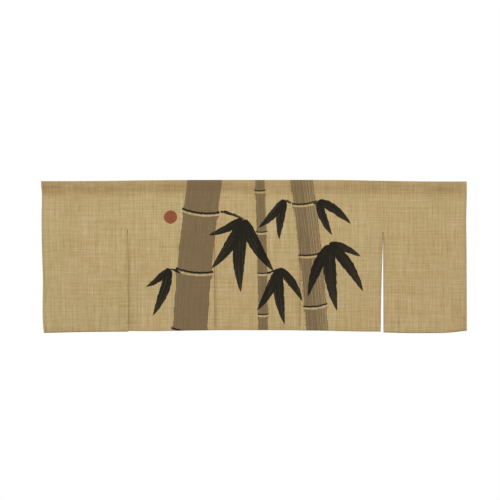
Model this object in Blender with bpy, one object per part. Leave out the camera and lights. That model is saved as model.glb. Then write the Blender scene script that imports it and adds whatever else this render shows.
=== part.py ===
"""Noren doorway curtain: one wide cloth cut by four slits, hung from an open rod sleeve."""

import math
from collections import namedtuple

import bmesh
import bpy
import numpy as np

MM = 0.001

# Driving sizes. X runs along the heading, -Y is the front, and Z is the height above the top fold's middle.
WIDTH = 1.700
DROP = 0.605
SLEEVE_DROP = 0.054
SLIT_START = 0.206
HALF = WIDTH / 2

# Cloth
LAYER = 1.3 * MM
HEM_DEPTH = 15 * MM
HEM_LAYERS = 2.0
HEM_STEP = 2 * MM
NODE_GAP = 0.3 * MM

# Rod sleeve: the cloth turned over to the back and sewn down along its lower edge
SLEEVE_SEAM = 6 * MM
SLEEVE_FRONT_BULGE = 5.5 * MM
SLEEVE_BACK_BULGE = 13 * MM
SLEEVE_ROUNDNESS = 0.4
SLEEVE_STATIONS = 44
SLEEVE_SIDE_POINTS = 8

# Slits: half the width of the cut, and how far a slit's swing reaches into a panel
CUT = 0.35 * MM
SWING_REACH = 60 * MM
SWING_SETTLES = 0.5
CUT_SETTLES = 0.05

# Rows and columns of the cloth's faces
PANEL_COLUMNS = 12
ROWS_ABOVE_SLITS = 6
ROWS_BELOW_SLITS = 15

# How far the top fold and the sewn line under the sleeve rise above their level, from the left end
# to the right end. A place across is a share of half the width.
Heading = namedtuple("Heading", "across top sewn")
HEADING = [
    Heading(-1.00, -4.8 * MM, -2 * MM),
    Heading(-0.72, -4.0 * MM, -2 * MM),
    Heading(-0.53, -1.8 * MM, 2 * MM),
    Heading(-0.34, -0.4 * MM, 4 * MM),
    Heading(0.00, 0.0 * MM, 3 * MM),
    Heading(0.41, -0.5 * MM, -2 * MM),
    Heading(0.65, -4.2 * MM, -3 * MM),
    Heading(0.88, -6.3 * MM, -1 * MM),
    Heading(1.00, -6.1 * MM, 1 * MM),
]

# How far the curtain's outer edges stray to the right, from the top fold down. A place down is a
# share of the drop.
Side = namedtuple("Side", "down left right")
SIDES = [
    Side(0.00, -3.3 * MM, -0.9 * MM),
    Side(0.09, 0.7 * MM, -0.1 * MM),
    Side(0.25, -0.4 * MM, -2.1 * MM),
    Side(0.45, 1.2 * MM, -0.9 * MM),
    Side(0.65, 5.0 * MM, 0.1 * MM),
    Side(0.96, 6.0 * MM, 1.3 * MM),
    Side(1.01, 9.0 * MM, 1.5 * MM),
]

# Slits: place and rise of the top, how far the edges beside each one stray to the right and swing
# back at the hem, and the share of its length over which the cut still keeps both edges apart.
Slit = namedtuple("Slit", "across rise left_stray right_stray left_swing right_swing closed_share")
SLITS = [
    Slit(-0.5925, 0 * MM, -2.0 * MM, -5.0 * MM, -4.0 * MM, 8.0 * MM, 0.14),
    Slit(-0.1870, 6 * MM, 0.9 * MM, -1.1 * MM, -3.0 * MM, 3.0 * MM, 0.20),
    Slit(0.2167, 4 * MM, 1.1 * MM, -0.9 * MM, 3.0 * MM, -3.0 * MM, 0.20),
    Slit(0.6060, -10 * MM, -8.5 * MM, 2.5 * MM, 3.0 * MM, -3.5 * MM, 0.0),
]

# Panels: rise of the hem at five even steps from left to right, and how far the middle hangs back there.
Panel = namedtuple("Panel", "hem belly")
PANELS = [
    Panel((-7.2 * MM, -5.2 * MM, -3.5 * MM, -2.4 * MM, -1.8 * MM), 4 * MM),
    Panel((1.0 * MM, 0.3 * MM, 1.3 * MM, 2.6 * MM, 3.7 * MM), -3 * MM),
    Panel((3.9 * MM, 4.2 * MM, 4.1 * MM, 3.9 * MM, 3.0 * MM), 3 * MM),
    Panel((2.8 * MM, 2.2 * MM, 0.5 * MM, -1.3 * MM, -2.2 * MM), -4 * MM),
    Panel((-5.0 * MM, -7.5 * MM, -7.9 * MM, -6.9 * MM, 1.6 * MM), 4 * MM),
]

# Soft vertical folds, troughs that stand back or, below zero, ridges that stand forward, with each
# line's place across under the sleeve and at the hem, and its half width.
Fold = namedtuple("Fold", "under_sleeve at_hem half_width depth_top depth_hem")
FOLDS = [
    Fold(-0.995, -0.990, 55 * MM, -1.0 * MM, -5.0 * MM),
    Fold(-0.905, -0.847, 50 * MM, 2.5 * MM, 5.0 * MM),
    Fold(-0.724, -0.765, 45 * MM, -3.0 * MM, -2.0 * MM),
    Fold(-0.624, -0.659, 38 * MM, 2.0 * MM, 1.0 * MM),
    Fold(-0.506, -0.459, 60 * MM, -2.5 * MM, -2.0 * MM),
    Fold(-0.318, -0.353, 65 * MM, 1.5 * MM, 3.0 * MM),
    Fold(-0.071, -0.047, 70 * MM, -1.5 * MM, -3.5 * MM),
    Fold(0.141, 0.118, 60 * MM, 2.0 * MM, 2.5 * MM),
    Fold(0.341, 0.365, 60 * MM, -2.5 * MM, -2.0 * MM),
    Fold(0.494, 0.529, 55 * MM, 2.0 * MM, 2.5 * MM),
    Fold(0.706, 0.753, 60 * MM, -3.0 * MM, -4.0 * MM),
    Fold(0.871, 0.859, 50 * MM, 2.5 * MM, 3.0 * MM),
    Fold(1.000, 1.006, 60 * MM, 1.0 * MM, 12.0 * MM),
]


def smooth(rows, column, place):
    """Reads a table's column at a place between its rows, on a curve through all of them."""
    at = np.array([row[0] for row in rows])
    value = np.array([getattr(row, column) for row in rows])
    return curve_through(at, value, place)


def curve_through(at, value, place):
    slope = np.gradient(value, at)
    place = min(max(place, at[0]), at[-1])
    i = min(int(np.searchsorted(at, place, side="right")) - 1, len(at) - 2)
    step = at[i + 1] - at[i]
    t = (place - at[i]) / step
    return float(
        value[i] * (2 * t**3 - 3 * t**2 + 1)
        + slope[i] * step * (t**3 - 2 * t**2 + t)
        + value[i + 1] * (3 * t**2 - 2 * t**3)
        + slope[i + 1] * step * (t**3 - t**2)
    )


def eased(share):
    """0 to 1 along a quarter wave: quick at first, then settling."""
    return math.sin(math.pi / 2 * min(max(share, 0.0), 1.0))


def outer_edge(side, height):
    """Place of the curtain's left or right edge at a height."""
    stray = smooth(SIDES, side, -height / DROP)
    return stray - HALF if side == "left" else stray + HALF


def top_fold(x):
    return smooth(HEADING, "top", x / HALF)


def sewn_line(x):
    return smooth(HEADING, "sewn", x / HALF) - SLEEVE_DROP


def slit_top(x):
    """Height of the line that joins the slits' tops, level outside the first and the last."""
    rise = np.interp(x / HALF, [s.across for s in SLITS], [s.rise for s in SLITS])
    return float(rise) - SLIT_START


def panel_edges(panel, height, share):
    """Left and right edge of a panel at a height, share of the way down from the slits' tops."""
    apart = CUT * min(1.0, max(share, 0.0) / CUT_SETTLES)
    left = outer_edge("left", height)
    right = outer_edge("right", height)
    if panel > 0:
        slit = SLITS[panel - 1]
        left = slit.across * HALF + apart + slit.right_stray * stray_share(slit, share)
    if panel < len(SLITS):
        slit = SLITS[panel]
        right = slit.across * HALF - apart + slit.left_stray * stray_share(slit, share)
    return left, right


def stray_share(slit, share):
    return eased((share - slit.closed_share) / (1 - slit.closed_share))


def swing(panel, from_left, from_right, share):
    """How far back a panel stands beside its slits."""
    depth = 0.0
    if panel > 0:
        depth += SLITS[panel - 1].right_swing * math.exp(-((from_left / SWING_REACH) ** 2))
    if panel < len(SLITS):
        depth += SLITS[panel].left_swing * math.exp(-((from_right / SWING_REACH) ** 2))
    return depth * eased(share / SWING_SETTLES)


def fold_depth(x, down):
    """How far back the soft folds stand at a share of the way from the sleeve to the hem."""
    depth = 0.0
    for fold in FOLDS:
        line = (fold.under_sleeve + (fold.at_hem - fold.under_sleeve) * down) * HALF
        size = fold.depth_top * math.sin(math.pi * min(down * 2, 0.5)) * (1 - down)
        size += fold.depth_hem * down**1.5
        depth += size * math.exp(-(((x - line) / fold.half_width) ** 2))
    return depth


def cloth_point(panel, across_share, height, share, down):
    """Front face of the cloth at a height, across_share of the way over a panel."""
    left, right = panel_edges(panel, height, share)
    x = left + (right - left) * across_share
    y = -LAYER + fold_depth(x, down)
    y += swing(panel, x - left, right - x, share)
    y += PANELS[panel].belly * math.sin(math.pi * across_share) * max(share, 0.0)
    return x, y, height


def column_shares():
    """Places of a panel's columns, closer together beside its edges."""
    return [(1 - math.cos(math.pi * i / PANEL_COLUMNS)) / 2 for i in range(PANEL_COLUMNS + 1)]


def cloth_rows(panel, across_share):
    """Height, share below the slits' tops and share below the sleeve of each row in one column."""
    left, right = panel_edges(panel, slit_top(0.0), 0.0)
    x = left + (right - left) * across_share
    start = sewn_line(x) - NODE_GAP
    split = slit_top(x)
    steps = np.linspace(0, 1, len(PANELS[panel].hem))
    hem = curve_through(steps, np.array(PANELS[panel].hem), across_share) - DROP
    heights = list(np.linspace(start, split, ROWS_ABOVE_SLITS + 1))
    heights += list(np.linspace(split, hem + HEM_DEPTH + HEM_STEP, ROWS_BELOW_SLITS + 1)[1:])
    heights += [hem + HEM_DEPTH, hem + HEM_DEPTH / 2, hem]
    return [(z, (split - z) / (split - hem), (start - z) / (start - hem)) for z in heights]


def curtain_cloth():
    """Front face of the hanging cloth, thickened to the back, with a doubled hem."""
    mesh = bmesh.new()
    thickness = mesh.verts.layers.deform.verify()
    shares = column_shares()
    shared = {}
    for panel in range(len(PANELS)):
        grid = []
        for column, across_share in enumerate(shares):
            at_slit = panel + column // PANEL_COLUMNS if column % PANEL_COLUMNS == 0 else None
            line = []
            for row, (z, share, down) in enumerate(cloth_rows(panel, across_share)):
                key = (at_slit, row)
                joined = at_slit is not None and row <= ROWS_ABOVE_SLITS
                if joined and key in shared:
                    line.append(shared[key])
                    continue
                vert = mesh.verts.new(cloth_point(panel, across_share, z, share, down))
                in_hem = row > ROWS_ABOVE_SLITS + ROWS_BELOW_SLITS
                vert[thickness][0] = 1.0 if in_hem else 1.0 / HEM_LAYERS
                line.append(vert)
                if joined:
                    shared[key] = vert
            grid.append(line)
        for here, beyond in zip(grid, grid[1:]):
            for row in range(len(here) - 1):
                mesh.faces.new((here[row], here[row + 1], beyond[row + 1], beyond[row]))
    cloth = new_object("curtain_cloth", mesh, linen("printed_linen", (0.47, 0.35, 0.17)))
    cloth.vertex_groups.new(name="layers")
    solidify = cloth.modifiers.new("Cloth thickness", "SOLIDIFY")
    solidify.thickness = LAYER * HEM_LAYERS
    solidify.offset = -1
    solidify.vertex_group = "layers"
    return cloth


def sleeve_profile(top, sewn):
    """Inner loop and outer loop of the sleeve as (depth, height), the same turn for both."""
    low = sewn + SLEEVE_SEAM
    tall = top - LAYER - low
    turns = [math.pi * (i + 1) / (SLEEVE_SIDE_POINTS + 1) for i in range(SLEEVE_SIDE_POINTS)]

    def wall(turn, bulge):
        lean = math.sin(turn) * math.sin(turn / 2) ** SLEEVE_ROUNDNESS
        return bulge * lean, low + tall * (1 - math.cos(turn)) / 2

    front = [wall(turn, -SLEEVE_FRONT_BULGE) for turn in turns]
    back = [wall(turn, SLEEVE_BACK_BULGE) for turn in reversed(turns)]
    inner = [(0.0, low)] + front + [(0.0, top - LAYER)] + back
    outer = [moved_out(inner, i) for i in range(1, len(inner))]
    outer = [(-LAYER, sewn)] + outer + [(LAYER, sewn)]
    return inner, outer


def moved_out(loop, i):
    """A loop's point moved out by one layer, square to the line between its neighbours."""
    (y0, z0), (y1, z1) = loop[i - 1], loop[(i + 1) % len(loop)]
    length = math.hypot(y1 - y0, z1 - z0)
    y, z = loop[i]
    return y - LAYER * (z1 - z0) / length, z + LAYER * (y1 - y0) / length


def rod_sleeve():
    """The open tunnel along the top, a loop of one layer with a doubled seam under it."""
    mesh = bmesh.new()
    stations = []
    for i in range(SLEEVE_STATIONS + 1):
        share = i / SLEEVE_STATIONS
        x = (share - 0.5) * WIDTH
        loops = []
        for loop in sleeve_profile(top_fold(x), sewn_line(x)):
            ring = []
            for y, z in loop:
                left, right = outer_edge("left", z), outer_edge("right", z)
                ring.append(mesh.verts.new((left + (right - left) * share, y, z)))
            loops.append(ring)
        stations.append(loops)
    for (inner, outer), (next_inner, next_outer) in zip(stations, stations[1:]):
        skin(mesh, inner, next_inner, inside=True)
        skin(mesh, outer, next_outer, inside=False)
    close_end(mesh, *stations[0], facing_left=True)
    close_end(mesh, *stations[-1], facing_left=False)
    return new_object("rod_sleeve", mesh, linen("sleeve_linen", (0.41, 0.30, 0.14)))


def skin(mesh, ring, next_ring, inside):
    """A band of faces between two stations' loops."""
    for i in range(len(ring)):
        j = (i + 1) % len(ring)
        corners = [ring[i], ring[j], next_ring[j], next_ring[i]]
        mesh.faces.new(corners if inside else corners[::-1])


def close_end(mesh, inner, outer, facing_left):
    """The sleeve's cut edge: one layer round the mouth, doubled where the seam joins it."""
    faces = [[outer[0], inner[0], outer[-1]]]
    for i in range(len(inner)):
        j = (i + 1) % len(inner)
        faces.append([outer[i], outer[i + 1], inner[j], inner[i]])
    for corners in faces:
        mesh.faces.new(corners if facing_left else corners[::-1])


def linen(name, colour):
    material = bpy.data.materials.new(name)
    material.use_nodes = True
    shader = material.node_tree.nodes["Principled BSDF"]
    shader.inputs["Base Color"].default_value = (*colour, 1.0)
    shader.inputs["Roughness"].default_value = 0.9
    shader.inputs["Metallic"].default_value = 0.0
    return material


def new_object(name, mesh, material):
    data = bpy.data.meshes.new(name)
    mesh.to_mesh(data)
    mesh.free()
    data.materials.append(material)
    data.shade_smooth()
    made = bpy.data.objects.new(name, data)
    bpy.context.scene.collection.objects.link(made)
    return made


def main():
    for old in list(bpy.data.objects):
        bpy.data.objects.remove(old, do_unlink=True)
    curtain_cloth()
    rod_sleeve()


main()
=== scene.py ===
"""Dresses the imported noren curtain: one thin linen sheet with turned hems, its stitching and a stage."""

import math
from collections import namedtuple

import bpy
import numpy as np
from bpy.props import FloatProperty, FloatVectorProperty, PointerProperty
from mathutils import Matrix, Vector


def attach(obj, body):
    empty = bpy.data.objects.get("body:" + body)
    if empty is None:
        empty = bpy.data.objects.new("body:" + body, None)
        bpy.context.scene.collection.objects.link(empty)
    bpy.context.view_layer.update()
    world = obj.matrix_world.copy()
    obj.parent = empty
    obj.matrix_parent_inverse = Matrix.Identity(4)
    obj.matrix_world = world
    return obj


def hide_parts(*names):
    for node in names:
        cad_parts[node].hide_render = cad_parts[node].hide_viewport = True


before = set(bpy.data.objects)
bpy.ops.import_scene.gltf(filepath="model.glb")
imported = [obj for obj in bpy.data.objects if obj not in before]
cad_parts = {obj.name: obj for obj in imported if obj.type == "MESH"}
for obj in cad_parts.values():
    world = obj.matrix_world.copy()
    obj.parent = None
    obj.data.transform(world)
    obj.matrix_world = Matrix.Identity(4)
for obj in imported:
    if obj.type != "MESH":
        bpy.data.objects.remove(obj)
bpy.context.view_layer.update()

bl_info = {
    "name": "Noren curtain dressing",
    "version": (1, 0, 0),
    "blender": (4, 5, 0),
    "location": "3D View > Sidebar > Noren",
    "description": "Dresses the packed noren curtain in linen, print and stitching",
    "category": "Object",
}

MM = 0.001

# Sizes as in the CAD. X runs along the heading, -Y is the front, Z is the height above the top fold.
WIDTH = 1.700
DROP = 0.605
SLEEVE_DROP = 0.054
SLIT_START = 0.206
HALF = WIDTH / 2
LAYER = 1.3 * MM
HEM_DEPTH = 15 * MM
NODE_GAP = 0.3 * MM
SLEEVE_SEAM = 6 * MM
SLEEVE_FRONT_BULGE = 5.5 * MM
SLEEVE_BACK_BULGE = 13 * MM
SLEEVE_BACK_ROUNDNESS = 0.4
SLEEVE_FRONT_ROUNDNESS = 1.1


def table(name, fields, rows):
    """Rows with named fields. Millimetres, _mm, are kept as metres, and degrees, _deg, as radians."""
    units = {"mm": MM, "deg": math.radians(1.0)}
    scales = [units.get(title.rpartition("_")[2], 1.0) for title in fields.split()]
    kind = namedtuple(name, fields.replace("_mm", "").replace("_deg", ""))
    return [kind(*(value * scale for value, scale in zip(row, scales))) for row in rows]


# Rise of the top fold and of the sewn line under the sleeve. Across is a share of half the width.
HEADING = table("Heading", "across top_mm sewn_mm", [
    (-1.00, -4.8, -2),
    (-0.72, -4.0, -2),
    (-0.53, -1.8, 2),
    (-0.34, -0.4, 4),
    (0.00, 0.0, 3),
    (0.41, -0.5, -2),
    (0.65, -4.2, -3),
    (0.88, -6.3, -1),
    (1.00, -6.1, 1),
])

# How far the outer edges stray to the right. Down is a share of the drop.
SIDES = table("Side", "down left_mm right_mm", [
    (0.00, -3.3, -0.9),
    (0.09, 0.7, -0.1),
    (0.25, -0.4, -2.1),
    (0.45, 1.2, -0.9),
    (0.65, 5.0, 0.1),
    (0.96, 6.0, 1.3),
    (1.01, 9.0, 1.5),
])

# Slits: place and rise of the top, stray and swing of the edges beside it, near the CAD's, the share that
# stays closed, half the cut between its thin edges, and the strength of the painted shade along them. Below
# zero they overlap, one behind the other. At the slit's top they start side by side.
SLIT_FIELDS = "across rise_mm left_stray_mm right_stray_mm left_swing_mm right_swing_mm closed cut_mm tone"
SLITS = table("Slit", SLIT_FIELDS, [
    (-0.5955, 0, 2.4, -0.6, -2.4, 4.0, 0.14, -0.30, 1.2),
    (-0.1870, 6, 0.9, -1.1, -3.0, 3.0, 0.20, 0.10, 1.7),
    (0.2167, 4, 1.1, -0.9, 3.0, -3.0, 0.20, 0.10, 1.7),
    (0.6060, -10, -8.5, 1.3, 3.0, -3.5, 0.05, 0.27, 2.1),
])
SWING_REACH = 60 * MM
SWING_SETTLES = 0.5
CUT_AT_TOP = 0.29 * MM
CUT_OPENS = 0.02
CUT_SETTLES = (0.03, 0.12)

# Panels: rise of the hem at five even steps, and how far the middle hangs back there
PANEL_COUNT = len(SLITS) + 1
HEM_RISES = MM * np.array([
    (-7.2, -5.2, -3.5, -2.4, -1.8),
    (1.0, 0.3, 1.3, 2.6, 3.7),
    (3.9, 4.2, 4.1, 3.9, 3.0),
    (2.8, 2.2, 0.5, -1.3, -2.2),
    (-5.0, -7.5, -7.9, -6.9, 1.6),
])
BELLIES = (4 * MM, -3 * MM, 3 * MM, -4 * MM, 4 * MM)

# Soft vertical folds: troughs stand back and, below zero, ridges stand forward.
FOLDS = table("Fold", "under_sleeve at_hem half_width_mm depth_top_mm depth_hem_mm", [
    (-0.995, -0.990, 55, -1.0, -5.0),
    (-0.905, -0.847, 50, 2.5, 5.0),
    (-0.724, -0.765, 45, -3.0, -2.0),
    (-0.624, -0.659, 38, 2.0, 1.0),
    (-0.506, -0.459, 60, -2.5, -2.0),
    (-0.318, -0.353, 65, 1.5, 3.0),
    (-0.071, -0.047, 70, -1.5, -3.5),
    (0.141, 0.118, 60, 2.0, 2.5),
    (0.341, 0.365, 60, -2.5, -2.0),
    (0.494, 0.529, 55, 2.0, 2.5),
    (0.706, 0.753, 60, -3.0, -4.0),
    (0.871, 0.859, 50, 2.5, 3.0),
    (1.000, 1.006, 60, 1.0, 12.0),
])

# Small creases in the thin cloth, each a soft line between two places. Below zero it stands forward.
CREASES = table("Crease", "across down to_across to_down half_width_mm depth_mm", [
    (-0.97, 0.10, -0.93, 0.52, 11, -1.0),
    (-0.80, 0.16, -0.86, 0.48, 9, 0.8),
    (-0.76, 0.10, -0.70, 0.38, 8, -0.9),
    (-0.68, 0.12, -0.61, 0.33, 8, 0.9),
    (-0.95, 0.78, -0.80, 0.94, 10, 1.3),
    (-0.86, 0.72, -0.76, 0.98, 9, -0.9),
    (-0.59, 0.33, -0.50, 0.22, 9, 1.0),
    (-0.59, 0.35, -0.55, 0.60, 9, -0.9),
    (-0.44, 0.14, -0.41, 0.46, 10, 0.8),
    (-0.36, 0.55, -0.32, 0.92, 11, -1.0),
    (-0.19, 0.31, -0.25, 0.20, 9, 0.9),
    (-0.19, 0.33, -0.12, 0.55, 9, 0.8),
    (-0.03, 0.12, 0.02, 0.42, 10, -0.8),
    (0.08, 0.50, 0.05, 0.93, 11, 1.0),
    (0.21, 0.32, 0.28, 0.21, 9, 0.9),
    (0.22, 0.34, 0.17, 0.58, 9, -0.8),
    (0.40, 0.13, 0.43, 0.44, 9, 0.8),
    (0.47, 0.52, 0.44, 0.90, 11, -1.0),
    (0.60, 0.34, 0.52, 0.24, 9, 1.1),
    (0.61, 0.35, 0.68, 0.58, 9, -1.1),
    (0.74, 0.12, 0.79, 0.40, 9, 0.9),
    (0.93, 0.14, 0.88, 0.50, 10, -1.0),
    (0.84, 0.66, 0.95, 0.97, 11, 1.1),
])
CREASE_FADES = 0.06

# Puckers that the sewing draws up beside the seams, uneven in step and in strength
PUCKER_WAVE = 23 * MM
PUCKER_DEPTH = 0.35 * MM
PUCKER_REACH = 11 * MM
PUCKER_DRIFT = 1.7
PUCKER_DRIFT_WAVE = 3.1 * PUCKER_WAVE
PUCKER_SWELL = 0.45
PUCKER_SWELL_WAVE = 2.3 * PUCKER_WAVE
PUCKER_SWELL_START = 0.8
PUCKER_FADES = 0.01
HEM_PUCKER_SHIFT = 0.3

# Rows of the cloth. A place is a height above the seam or the hem, a turn round the sleeve's front or
# back, or a share of the way down a zone. Turned is how far the row is over the hem's fold.
Row = namedtuple("Row", "zone place groove turned", defaults=(0.0, 0.0))
SLEEVE_ROWS = 12
BODY_ROWS = 20
PANEL_ROWS = 46
LEAST_TURN = 0.25
SEWN_EDGE = -1 * MM
HEM_PLACES = (1.5 * MM, 3 * MM, 5.5 * MM, 8.5 * MM)

# Columns of a panel. The side is -1 at the left edge, 1 at the right edge and 0 between them.
Column = namedtuple("Column", "side inset turned groove")
PANEL_COLUMNS = 46
SIDE_HEM = 8.2 * MM
SIDE_INNER = 2.6 * MM
SIDE_HEM_OPENS = 25 * MM

# Sewn lines, and how far beside them the cloth is level again
SEAM_STITCH = 2.5 * MM
HEM_STITCH = 12.5 * MM
SIDE_STITCH = 6.5 * MM
STITCH_BESIDE = 1.2 * MM

# A pressed fold: insets in radii and shares turned over. Its layers stand so many radii apart, more where
# the bottom hem lies over a side hem, whose folded end is lifted clear of the bottom fold.
FOLD_TURNS = ((1.0, 0.0), (0.293, 0.146), (0.0, 0.5), (0.293, 0.854), (1.0, 1.0))
FOLD_APART = 2
OVER_SIDE_HEM = 4
INNER_LIFT = 1.1 * MM
INNER_LIFT_REACH = 7 * MM

# The bottom hem curls back a little towards its fold
HEM_CURL = 2.2 * MM
CURL_REACH = 3.5 * MM

# Painted shade on the front, by distance from the top fold, for the sleeve's two layers and its soft shadow
SHADE_DOWN = (0.0, 12 * MM, 28 * MM, 40 * MM, 50 * MM, 58 * MM, 66 * MM, 76 * MM)
SHADE_SHARE = (0.64, 0.80, 1.00, 0.88, 0.62, 0.36, 0.12, 0.0)
SHADE_ACROSS = (-1.0, -0.75, -0.5, 0.4, 1.0)
SHADE_ALONG = (1.25, 1.12, 0.94, 0.88, 0.86)
SLEEVE_BACK_SHADE = 0.8
# Painted shade over the two-layer bottom and side hems, which let less light through
HEM_SHADE = 0.25
SIDE_SHADE_EDGE = (1.1 * SIDE_HEM, 0.9 * SIDE_HEM)
# Painted shade along the folded edges, within this reach
FOLD_SHADE = 0.75
FOLD_SHADE_REACH = 1 * MM
# Painted shade at each panel's bottom fold, stronger on the outer panels and full within the nearer distance
HEM_FOLD_SHADES = (1.8, 0.9, 0.9, 0.9, 1.8)
HEM_FOLD_EDGE = (4.5 * MM, 1.5 * MM)

# Share of the print on the front, and of the print that soaks through to the back
PRINTED = 0.99
SOAKED_THROUGH = 0.55


def size(name, description, default, unit="LENGTH"):
    return FloatProperty(name=name, description=description, default=default, unit=unit)


def colour(name, description, *default):
    return FloatVectorProperty(name=name, description=description, default=default, subtype="COLOR")


class NorenSizes(bpy.types.PropertyGroup):
    """Sizes of the thin cloth and of its sewing."""

    cloth: size("Cloth thickness", "Thickness of one layer of linen", 0.5 * MM)
    fold: size("Fold radius", "Radius of a hem's pressed fold", 0.45 * MM)
    groove: size("Seam groove", "How far a sewn line sinks in", 0.15 * MM)
    stitch_length: size("Stitch length", "Length of one stitch", 2.6 * MM)
    stitch_pitch: size("Stitch pitch", "Step from stitch to stitch", 3.3 * MM)
    thread: size("Thread radius", "Half the thread's thickness", 0.22 * MM)
    tack_height: size("Tack height", "Height of the tack at a slit's top", 15 * MM)
    tack_width: size("Tack width", "Width of the tack at a slit's top", 4.2 * MM)
    weave: size("Weave pitch", "Step from thread to thread", 1.25 * MM)


class NorenColours(bpy.types.PropertyGroup):
    """Colours of the linen, the inks and the threads."""

    linen: colour("Linen", "Single layer of cloth", 0.474, 0.352, 0.168)
    # Painted shade: the share of the linen's colour left where the painted shade is full
    shaded: colour("Doubled", "Share of the colour left in doubled cloth", 0.805, 0.748, 0.69)
    stalk: colour("Stalk ink", "Ink of the stalks", 0.165, 0.112, 0.057)
    leaf: colour("Leaf ink", "Ink of the leaves", 0.0075, 0.0068, 0.0045)
    disc: colour("Disc ink", "Ink of the small disc", 0.250, 0.062, 0.030)
    thread: colour("Thread", "Sewing thread", 0.42, 0.31, 0.15)
    # Tack thread, darker than the sewing thread: partly its own colour and partly painted shade at the slits'
    # tops
    tack: colour("Tack thread", "Thread of the tacks", 0.20, 0.126, 0.042)


class NorenStage(bpy.types.PropertyGroup):
    """Camera and light."""

    distance: size("Camera distance", "From the curtain's face", 10.0)
    across: size("Camera across", "Right of the curtain's middle", -0.017)
    height: size("Camera height", "Above the top fold", -0.2804)
    lens: size("Lens", "Focal length on a 36 mm sensor", 180.0, "CAMERA")
    key_power: size("Key light", "Power of the soft light at the upper left", 37.0, "POWER")
    ambient: size("Room light", "Strength of the light from all round", 0.78, "NONE")
    floor_drop: size("Floor", "Depth of the floor below the top fold", 1.9)


def on_curve(at, value, place):
    """Reads a smooth curve through points at an array of places."""
    at, value = np.asarray(at), np.asarray(value)
    slope = np.gradient(value, at)
    place = np.clip(place, at[0], at[-1])
    i = np.clip(np.searchsorted(at, place, side="right") - 1, 0, len(at) - 2)
    step = at[i + 1] - at[i]
    t = (place - at[i]) / step
    return (
        value[i] * (2 * t**3 - 3 * t**2 + 1)
        + slope[i] * step * (t**3 - 2 * t**2 + t)
        + value[i + 1] * (3 * t**2 - 2 * t**3)
        + slope[i + 1] * step * (t**3 - t**2)
    )


def read(rows, column, place):
    """Reads one column of a table at an array of places."""
    return on_curve([row[0] for row in rows], [getattr(row, column) for row in rows], place)


def eased(share):
    return np.sin(np.pi / 2 * np.clip(share, 0, 1))


def ramp(low, high, value):
    """Goes smoothly from 0 at low to 1 at high."""
    t = np.clip((value - low) / (high - low), 0, 1)
    return t * t * (3 - 2 * t)


def slit_top(x):
    """Height of the line that joins the slits' tops."""
    return np.interp(x / HALF, [slit.across for slit in SLITS], [slit.rise for slit in SLITS]) - SLIT_START


def flat_edges(panel):
    """Left and right edge of a panel in the flat cloth."""
    lines = [-HALF] + [slit.across * HALF for slit in SLITS] + [HALF]
    return lines[panel], lines[panel + 1]


def slit_edge(slit, side, stray, share):
    """Place of the cloth's edge on a slit's left side, -1, or right side, 1, share of the way down."""
    opened = CUT_AT_TOP * np.clip(share / CUT_OPENS, 0, 1)
    cut = opened + (slit.cut - CUT_AT_TOP) * ramp(*CUT_SETTLES, share)
    return slit.across * HALF + side * cut + stray * eased((share - slit.closed) / (1 - slit.closed))


def panel_edges(panel, z, share):
    """Left and right edge of a panel at its heights, share of the way down from the slits' tops."""
    left = -HALF + read(SIDES, "left", -z / DROP)
    right = HALF + read(SIDES, "right", -z / DROP)
    if panel > 0:
        left = slit_edge(SLITS[panel - 1], 1, SLITS[panel - 1].right_stray, share)
    if panel < len(SLITS):
        right = slit_edge(SLITS[panel], -1, SLITS[panel].left_stray, share)
    return left, right


def swing(panel, from_left, from_right, share):
    """How far back a panel stands beside its slits."""
    depth = 0.0
    if panel > 0:
        depth = depth + SLITS[panel - 1].right_swing * np.exp(-((from_left / SWING_REACH) ** 2))
    if panel < len(SLITS):
        depth = depth + SLITS[panel].left_swing * np.exp(-((from_right / SWING_REACH) ** 2))
    return depth * eased(share / SWING_SETTLES)


def fold_depth(x, down):
    """How far back the soft folds stand."""
    down = np.clip(down, 0, None)
    depth = 0.0
    for fold in FOLDS:
        line = (fold.under_sleeve + (fold.at_hem - fold.under_sleeve) * down) * HALF
        size = fold.depth_top * np.sin(np.pi * np.minimum(down * 2, 0.5)) * (1 - down)
        size = size + fold.depth_hem * down**1.5
        depth = depth + size * np.exp(-(((x - line) / fold.half_width) ** 2))
    return depth


def crease_depth(x, z):
    """How far back the small creases stand."""
    depth = 0.0
    for crease in CREASES:
        start = np.array([crease.across * HALF, -crease.down * DROP])
        way = np.array([crease.to_across * HALF, -crease.to_down * DROP]) - start
        length = np.hypot(*way)
        along = ((x - start[0]) * way[0] + (z - start[1]) * way[1]) / length**2
        beside = ((x - start[0]) * way[1] - (z - start[1]) * way[0]) / length
        fade = np.sqrt(np.clip(4 * along * (1 - along), 0, 1))
        depth = depth + crease.depth * fade * np.exp(-((beside / crease.half_width) ** 2))
    return depth


def pucker_depth(x, from_seam):
    """Small uneven waves that die away from a sewn line."""
    wave = np.sin(2 * np.pi * x / PUCKER_WAVE + PUCKER_DRIFT * np.sin(x / PUCKER_DRIFT_WAVE))
    strength = 1 - PUCKER_SWELL + PUCKER_SWELL * np.sin(x / PUCKER_SWELL_WAVE + PUCKER_SWELL_START)
    return PUCKER_DEPTH * wave * strength * np.exp(-np.abs(from_seam) / PUCKER_REACH)


def hem_curl(from_fold):
    """How far the bottom hem curls back."""
    return HEM_CURL * np.exp(-from_fold / CURL_REACH)


def over_side_hem(from_edge):
    """Goes from 0 well inside a panel to 1 over its side hem."""
    return ramp(2 * SIDE_HEM, SIDE_HEM, from_edge)


def sleeve_wall(turn, bulge, roundness, low, tall):
    """Depth and height of the sleeve's inner wall, and its outward direction."""
    half = np.sin(turn / 2)
    y = bulge * np.sin(turn) * half**roundness
    z = low + tall * (1 - np.cos(turn)) / 2
    y_way = bulge * np.cos(turn) * half**roundness
    y_way += bulge * np.sin(turn) * np.cos(turn / 2) * roundness / 2 * half ** (roundness - 1)
    z_way = tall * np.sin(turn) / 2
    length = np.hypot(y_way, z_way)
    side = 1 if bulge > 0 else -1
    return y, z, side * z_way / length, -side * y_way / length


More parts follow.
